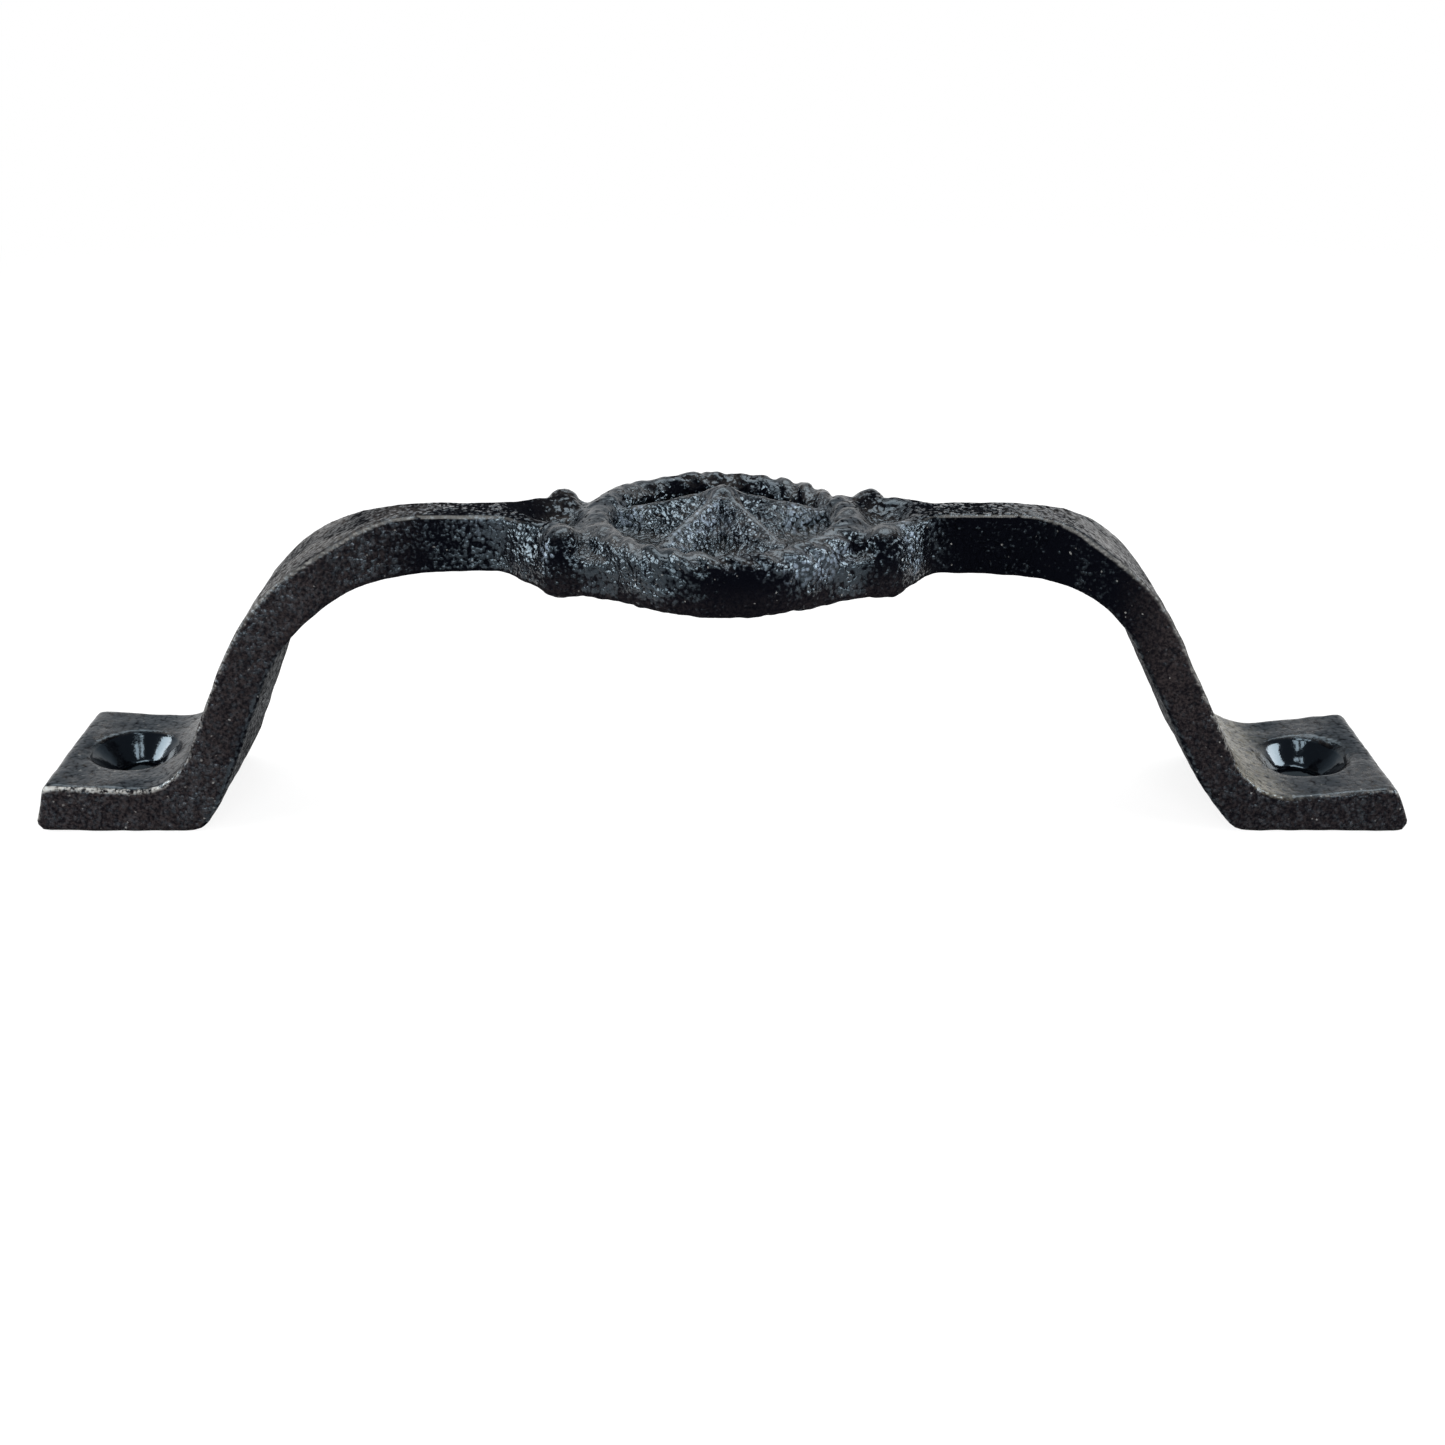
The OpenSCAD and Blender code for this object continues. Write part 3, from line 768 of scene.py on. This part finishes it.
DULL_AND_SHADE_SPOTS = (((-18.1, 5.9, 35), 2.8, 0.3), ((-18, 3.5, 34.2), 3.4, 0.4),
              ((16.4, 5.6, 34.7), 2.8, 0.3), ((16, 3, 34), 3.4, 0.4),
              ((-3.8, 12.4, 34.1), 4, 0.3), ((1.5, 13, 34.1), 4, 0.35),
              ((14.6, -6.4, 31.9), 3.4, 0.2), ((1, -15.1, 34.1), 4.5, 0.28),
              ((-21, 1, 35), 4, 0.35), ((9.5, 8.2, 33.4), 3, 0.3))


def opaque(colour):
    """A colour with full alpha, as sockets take it."""
    return (*colour, 1.0)


class Ground:
    """Places on the casting as masks from 0 to 1, and the noises that the paint is made of.

    Lengths and places are in millimetres.
    """

    def __init__(self, s):
        self.place = place = s.scaled(s.add("ShaderNodeTexCoord", output=3), 1 / MM)
        self.x, self.y, self.z = x, y, z = s.axes(place)
        facing = s.axes(s.add("ShaderNodeNewGeometry", output=1))
        self.rise = rise = facing[2]
        self.up, self.down = rise.step(0.4, 0.85), (-rise).step(0.05, 0.3)
        self.side = 1 - self.up
        self.inward = (-facing[0] * x).step(15, 35)

        self.patches = s.noise(place, 6, 3)
        self.ragged = s.noise(place, 0.7, 3, 0.6)
        self.sand = s.noise(place, 0.3, 2)
        self.warp = s.add("ShaderNodeVectorMath", {"operation": "ADD"},
                          {0: place, 1: s.scaled(s.noise(place, 1.1, 2, 0.5, 1), 0.6)})
        self.pebbles = s.pebbles(self.warp, 0.55)
        self.lumps = s.noise(self.warp, 0.7, 1)

        wobble = 6 * (self.patches - 0.5) + 3 * (self.ragged - 0.5)
        span = abs(x) + wobble
        self.middle = 1 - span.step(19, 27)
        self.bar = span.step(17.5, 22) * (1 - span.step(28, 40))
        self.leg = span.step(30, 46)
        self.outside = x.diagonal(y).step(14.2, 15)
        # Painted shade: the middle of the medallion's front wall, below the rope, is made dark by
        # less gloss and less soil.
        front = 1 - (abs(x - 2) + wobble).step(0, 11)
        below_rope = 1 - (z + 3 * (self.ragged - 0.5)).step(31.8, 34.6)
        self.painted_shade_front = self.outside * front * below_rope
        low_wall = 1 - (z + 2 * (self.ragged - 0.5)).step(28.5, 32.5)
        self.flank = self.middle * self.outside * low_wall

        hole_x = SCREWS["pos_m"][0] / MM
        hole_away = (abs(x - hole_x) - HALF_SPACING / MM).diagonal(y)
        # The countersinks' smooth cones, and the rough faces beside them
        self.sink = 1 - hole_away.step(4.9, 5.3)
        self.rough = 1 - self.sink
        # Spots of painted highlight, which add gloss and bright specks, and spots of painted shade,
        # which take away gloss and dust
        self.gloss_and_highlight = s.spots(place, GLOSS_AND_HIGHLIGHT_SPOTS)
        self.dull_and_shade = s.spots(place, DULL_AND_SHADE_SPOTS)
        self.grain = self.grain_share()
        self.gloss_and_shade = self.gloss_and_shade_share()

    def grain_share(self):
        """How much of the sand's grain the paint leaves open."""
        dish = 1 - self.z.step(33.2, 34.6)
        medallion = 0.15 + 0.85 * dish.maximum(self.side)
        strap = 0.1 + 1.1 * self.side * (1 - 0.6 * self.leg) + 1.6 * self.up * self.bar
        patchy = 0.6 + 0.6 * self.patches.step(0.4, 0.6)
        wall = 1 - 0.35 * self.middle * self.outside * self.side
        return (self.middle * medallion + (1 - self.middle) * strap) * patchy * wall * self.rough

    def gloss_and_shade_share(self):
        """How much of the surface is glossy, before the grain breaks it up. It is partly real gloss
        and partly painted shade and highlight: lower where shade is painted, higher at the
        highlight spots.
        """
        x, y, z = self.x, self.y, self.z
        # Painted shade: the back of the dish's inner wall, up by the rope, is made less glossy and
        # so darker.
        back = (1 - self.outside) * y.step(4, 8) * z.step(32.5, 33.5)
        # Painted shade: the middle of the front wall is made much less glossy; the low wall is also
        # less glossy.
        rim = (0.95 - 0.8 * self.painted_shade_front - 0.4 * back
               - 0.34 * self.flank * (1 - self.painted_shade_front))
        # Partly gloss and partly painted shade: the bar's right half, and its left half away from
        # the collar, are made less glossy and so darker.
        bar = 0.7 - 0.43 * (-x).step(24, 36) - 0.68 * x.step(18.5, 23) * (1 - 0.25 * x.step(50, 60))
        side = (self.middle * rim + (1 - self.middle) * bar).maximum(self.inward)
        # Partly gloss and partly painted shade: the bar's tops and the shoulders are made less
        # glossy and so darker.
        shoulder = abs(x).step(30, 38) * (1 - abs(x).step(50, 58))
        top = 0.95 - 0.48 * self.bar - shoulder * (0.27 + 0.25 * (-x).step(0, 1))
        rolls = (1 - abs(abs(x) - 17.4).step(0.3, 3.4)) * abs(y).step(6, 7) * self.side
        # Painted shade: faces that look down and the beads' sides are made less glossy and so
        # darker.
        unshaded = (1 - 0.65 * self.down) * (1 - 0.7 * rolls)
        # Spots of painted highlight raise the gloss and spots of painted shade lower it.
        return (side * self.side + top * self.up) * unshaded + 0.3 * self.gloss_and_highlight - self.dull_and_shade


def paint_relief(s, g, looks):
    """Normal of the paint: pebbles and lumps where the grain is open, streaks and pits."""
    pebble, lump, sand = (value / MM for value in (looks.pebble_height, looks.lump_height,
                                                   looks.sand_height))
    streak, pit = 0.02, 0.12
    streaks = s.noise(s.stretched(g.place, (0.35, 3.0, 1.0)), 1.0, 2)
    pits = 1 - s.cells(g.place, 2.3).step(0.05, 0.15)
    height = ((g.pebbles * pebble + g.lumps * lump) * g.grain + g.sand * (g.grain + 0.1) * sand
              + streaks * g.up * (1 - g.bar) * streak - pits * (0.3 + g.grain) * g.rough * pit)
    return s.bump(height, MM)


def gloss_share(g):
    """Share of the glossy coat: speckles, crisp on the medallion's top and soft on the legs."""
    speckle = (0.6 * (g.pebbles - 0.8) + 0.5 * (g.lumps - 0.5) + 0.6 * (g.sand - 0.5)
               + 0.4 * (g.patches - 0.5) + 0.6 * (g.gloss_and_shade - 0.5))
    soft = (0.14 + 0.2 * g.side * (1 - g.middle).maximum(g.outside) + 0.3 * g.leg
            + 0.35 * g.up * abs(g.x).step(34, 42))
    return (speckle / soft + 0.5).step(0, 1) * g.rough + g.sink


def soil_share(s, g):
    """Share of matte soil, which lies on the legs' sides and low on the medallion's wall."""
    x = g.x
    # Painted shade: the right half of the bar gets no soil, so it stays darker.
    clean_and_shaded_bar = x.step(20, 26) * (1 - x.step(42, 50))
    lying = g.leg.maximum(0.45 * g.flank * (1 - 0.5 * g.painted_shade_front))
    cover = lying * g.side * (1 - clean_and_shaded_bar) * (1 - g.inward) * g.rough
    fine = s.noise(g.place, 0.35, 4, 0.7)
    return (cover * (0.15 + fine.step(0.35, 0.7)) * g.ragged.step(0.3, 0.65, 0.6, 1.15)
            * (1 - 0.35 * x.step(48, 60)))


def wear_and_edge_highlight_share(s, g):
    """Share of bare metal and of painted edge highlight: chips along the edges that tilt up, partly
    painted highlight, a light line painted along the front top edges, and small flecks.
    """
    x, y, z = g.x, g.y, g.z
    edge = s.add("ShaderNodeAttribute", {"attribute_name": "edge"}, output=2)
    # Only edges that tilt up get chips, so these are partly bare metal and partly painted edge
    # highlight.
    rim = g.rise.step(0.1, 0.4) * (1 - g.rise.step(0.7, 0.9))
    left_foot = (-x).step(56, 59) * (1 - y.step(0, 3)) * (1 - z.step(6, 8))
    sharp = (edge + 0.2 * left_foot - 0.08 * x.step(50, 60)).step(0.5, 0.9)
    worn_and_highlit = (sharp * (0.6 * g.ragged + 0.4 * g.sand).step(0.42, 0.56)
            * rim * (1 - 0.85 * g.middle) * g.rough)
    # Painted highlight: a light line along the front top edges of the bar and legs.
    crest = (edge.step(0.45, 0.75) * rim * (-y).step(0, 1) * (1 - g.leg * 0.5)
             * (1 - g.middle) * (1 - abs(x).step(50, 56)))
    fleck_size = 0.13 + 0.1 * (-x).step(54, 60) * z.step(1, 4)
    flecks = (1 - s.cells(g.warp, 1.1).step(0.07, fleck_size)) * g.ragged.step(0.48, 0.6) * g.rough
    return (worn_and_highlit * (0.35 + 0.5 * left_foot)).maximum(crest * 0.25).maximum(flecks * 0.35)


def paint_colour(s, g, looks):
    """Colour of the paint under soil, frosted grains and painted highlights, dust, grease,
    bare-metal chips and painted edge highlights.
    """
    # Painted highlight, partly rubbed paint: the grains' tops are lightened where the paint is
    # glossy, and bright specks are painted at the highlight spots.
    rubbed_and_highlit_peaks = g.sand.step(0.5, 0.75) * g.grain * g.gloss_and_shade * 0.12
    painted_glint_specks = g.pebbles.step(0.65, 0.92) * g.lumps.step(0.36, 0.56) * g.gloss_and_highlight * 0.6
    # Dust on the top faces; none on the bar's tops and less at the shade spots, which keeps them
    # dark as painted shade.
    dust = (0.595 * g.up * g.patches.step(0.35, 0.62) * (0.35 + 0.65 * g.ragged.step(0.4, 0.65))
            * g.rough * (1 - g.bar) * (1 - g.dull_and_shade))
    instep = g.x.step(51, 57) * (1 - g.x.step(60, 66)) * g.rise.step(0.3, 0.7)
    layers = ((soil_share(s, g), looks.soil), (rubbed_and_highlit_peaks.maximum(painted_glint_specks), looks.frost_and_glint),
              (dust, looks.dust), (instep * g.ragged.step(0.3, 0.6) * 0.6, looks.grease),
              (wear_and_edge_highlight_share(s, g), looks.wear_and_edge_highlight))
    colour = opaque(looks.paint)
    for share, tone in layers:
        colour = s.mix_colour(share, colour, opaque(tone))
    return colour


def black_paint(looks):
    """Black paint over sand-cast iron: glossy on the grains' tops and matte between them; the
    glossy share also paints shade and highlight in places.
    """
    material = bpy.data.materials.new("black_paint")
    material.use_nodes = True
    s = Shader(material.node_tree)
    g = Ground(s)
    colour = paint_colour(s, g, looks)
    normal = paint_relief(s, g, looks)
    sleek = ((looks.gloss + 0.16 * g.up * (1 - g.grain) + 0.35 * g.down) * g.rough
             + 0.1 * g.sink)
    dull_level, dull_roughness, gloss_level = 0.004, 0.6, 0.55
    coats = [s.add("ShaderNodeBsdfPrincipled", {}, {
        "Base Color": colour, "Roughness": roughness, "Normal": normal, "IOR": 1.45,
        "Specular IOR Level": level, "Specular Tint": opaque(looks.sheen)})
        for level, roughness in ((dull_level, dull_roughness), (gloss_level, sleek))]
    surface = s.add("ShaderNodeMixShader", {}, {0: gloss_share(g), 1: coats[0], 2: coats[1]})
    s.add("ShaderNodeOutputMaterial", {}, {0: surface})
    return material


def seen_ray(s):
    """1 for rays from the camera, and for those that gloss and glass send on, else 0."""
    path = s.add("ShaderNodeLightPath")
    outputs = path.socket.node.outputs
    rays = [Wire(s, outputs[name]) for name in ("Is Camera Ray", "Is Glossy Ray",
                                                "Is Transmission Ray")]
    return rays[0].maximum(rays[1]).maximum(rays[2])


def pale_floor(looks):
    """Pale floor that is seen as plain white away from the pull, and keeps its shadow."""
    material = bpy.data.materials.new("pale_floor")
    material.use_nodes = True
    s = Shader(material.node_tree)
    place = s.add("ShaderNodeTexCoord", output=3)
    away = s.add("ShaderNodeVectorMath", {"operation": "LENGTH"}, {0: place}, 1)
    shadow_run, shadow_end, white_share = 0.1, 0.4, 0.85
    share = seen_ray(s) * away.step(shadow_run, shadow_end, white_share, 1)
    lit = s.add("ShaderNodeBsdfDiffuse", {}, {"Color": opaque(looks.floor)})
    white = s.add("ShaderNodeEmission", {}, {"Color": (1, 1, 1, 1), "Strength": 1.0})
    mixed = s.add("ShaderNodeMixShader", {}, {0: share, 1: lit, 2: white})
    s.add("ShaderNodeOutputMaterial", {}, {0: mixed})
    return material


def studio_world(world):
    """White where it is seen, and a dimmer soft light on the object."""
    world.use_nodes = True
    s = Shader(world.node_tree)
    rise = s.axes(s.add("ShaderNodeTexCoord"))[2]
    sky = s.mix_colour(rise.step(0.1, 0.5), (1, 1, 1, 1), (0.8, 0.9, 1, 1))
    seen = s.add("ShaderNodeBackground", {}, {0: sky, 1: rise.step(0.1, 0.8, 1, 0.2)})
    light = s.add("ShaderNodeBackground", {}, {0: (0.94, 0.97, 1, 1), 1: 0.35})
    mixed = s.add("ShaderNodeMixShader", {}, {0: seen_ray(s), 1: light, 2: seen})
    s.add("ShaderNodeOutputWorld", {}, {0: mixed})


# Lamps: name, place, width and depth in metres, and radiance
LAMPS = (("overhead_softbox", (0, 0.3, 0.85), 0.9, 0.6, 5),
         ("left_softbox", (-0.72, -0.12, 0.32), 0.5, 0.44, 13),
         ("right_softbox", (0.72, -0.12, 0.32), 0.5, 0.44, 13),
         ("front_softbox", (0, -0.85, 0.3), 0.9, 0.36, 8),
         ("left_window", (-0.1, -0.49, 0.77), 0.12, 0.2, 9),
         ("right_window", (0.1, -0.49, 0.77), 0.12, 0.2, 9))
AIM = Vector((0, 0, 0.02))


def softbox(name, place, width, depth, radiance):
    """A rectangular lamp that gives an even glow, unseen by the camera itself."""
    lamp = bpy.data.lights.new(name, "AREA")
    lamp.shape = "RECTANGLE"
    lamp.size, lamp.size_y = width, depth
    lamp.energy = radiance * pi * width * depth
    item = bpy.data.objects.new(name, lamp)
    item.location = place
    item.rotation_euler = (AIM - Vector(place)).to_track_quat("-Z", "Y").to_euler()
    item.visible_camera = False
    bpy.context.scene.collection.objects.link(item)


class BuildCasting(bpy.types.Operator):
    """Build the pull's casting, with its rough surface and its paint"""
    bl_idname = "door_pull.build_casting"
    bl_label = "Build Casting"

    def execute(self, context):
        scene = context.scene
        pull = Pull(scene)
        lines = pull.grid()
        points, faces = surface_net(lines, pull.field(*lines))
        piece = new_mesh("door_pull_casting", points, faces)
        normals = np.empty(len(points) * 3)
        piece.data.vertex_normals.foreach_get("vector", normals)
        normals = normals.reshape(-1, 3)
        looks = scene.pull_casting_looks
        edge = piece.data.attributes.new("edge", "FLOAT", "POINT")
        edge.data.foreach_set("value", ridges(points, normals, faces))
        points = rough_casting(points, normals, looks)
        piece.data.vertices.foreach_set("co", points.ravel())
        piece.data.update()
        piece.data.materials.append(black_paint(looks))
        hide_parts(CASTING)
        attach(piece, "root")
        return {"FINISHED"}


class BuildStage(bpy.types.Operator):
    """Build the floor, the lamps, the world and the camera"""
    bl_idname = "door_pull.build_stage"
    bl_label = "Build Stage"

    def execute(self, context):
        scene = context.scene
        looks = scene.pull_stage
        reach = 3.0
        corners = reach * np.array([(-1, -1, 0), (1, -1, 0), (1, 1, 0), (-1, 1, 0)])
        floor = new_mesh("floor", corners, np.array([[0, 1, 2, 3]]))
        floor.data.materials.append(pale_floor(looks))
        scene.world = bpy.data.worlds.new("studio")
        studio_world(scene.world)
        for lamp in LAMPS:
            softbox(*lamp)
        lens = bpy.data.cameras.new("camera")
        lens.lens = looks.lens
        lens.clip_start = 0.01
        camera = bpy.data.objects.new("camera", lens)
        camera.location = (0, -looks.camera_back, looks.camera_height)
        camera.rotation_euler = (pi / 2 - looks.camera_pitch, 0, 0)
        scene.collection.objects.link(camera)
        scene.camera = camera
        scene.view_settings.view_transform = "Standard"
        return {"FINISHED"}


class DoorPullPanel(bpy.types.Panel):
    """Sizes, colours and buttons of the door pull"""
    bl_idname = "VIEW3D_PT_door_pull"
    bl_label = "Door Pull"
    bl_space_type = "VIEW_3D"
    bl_region_type = "UI"
    bl_category = "Door Pull"

    def draw(self, context):
        for name in GROUPS:
            box = self.layout.box()
            group = getattr(context.scene, name)
            for key in group.__annotations__:
                box.prop(group, key)
        for operator in OPERATORS:
            self.layout.operator(operator.bl_idname)


GROUPS = {"pull_strap": StrapSizes, "pull_left_leg": LeftLegSizes,
          "pull_right_leg": RightLegSizes, "pull_medallion": MedallionSizes,
          "pull_casting_looks": CastingLooks, "pull_stage": StageLooks}
OPERATORS = (BuildCasting, BuildStage)


def register():
    for name, group in GROUPS.items():
        bpy.utils.register_class(group)
        setattr(bpy.types.Scene, name, PointerProperty(type=group))
    for item in (*OPERATORS, DoorPullPanel):
        bpy.utils.register_class(item)


def unregister():
    for item in (DoorPullPanel, *reversed(OPERATORS)):
        bpy.utils.unregister_class(item)
    for name, group in reversed(GROUPS.items()):
        delattr(bpy.types.Scene, name)
        bpy.utils.unregister_class(group)


def main():
    register()
    bpy.ops.door_pull.build_casting()
    bpy.ops.door_pull.build_stage()


if __name__ == "__main__":
    main()
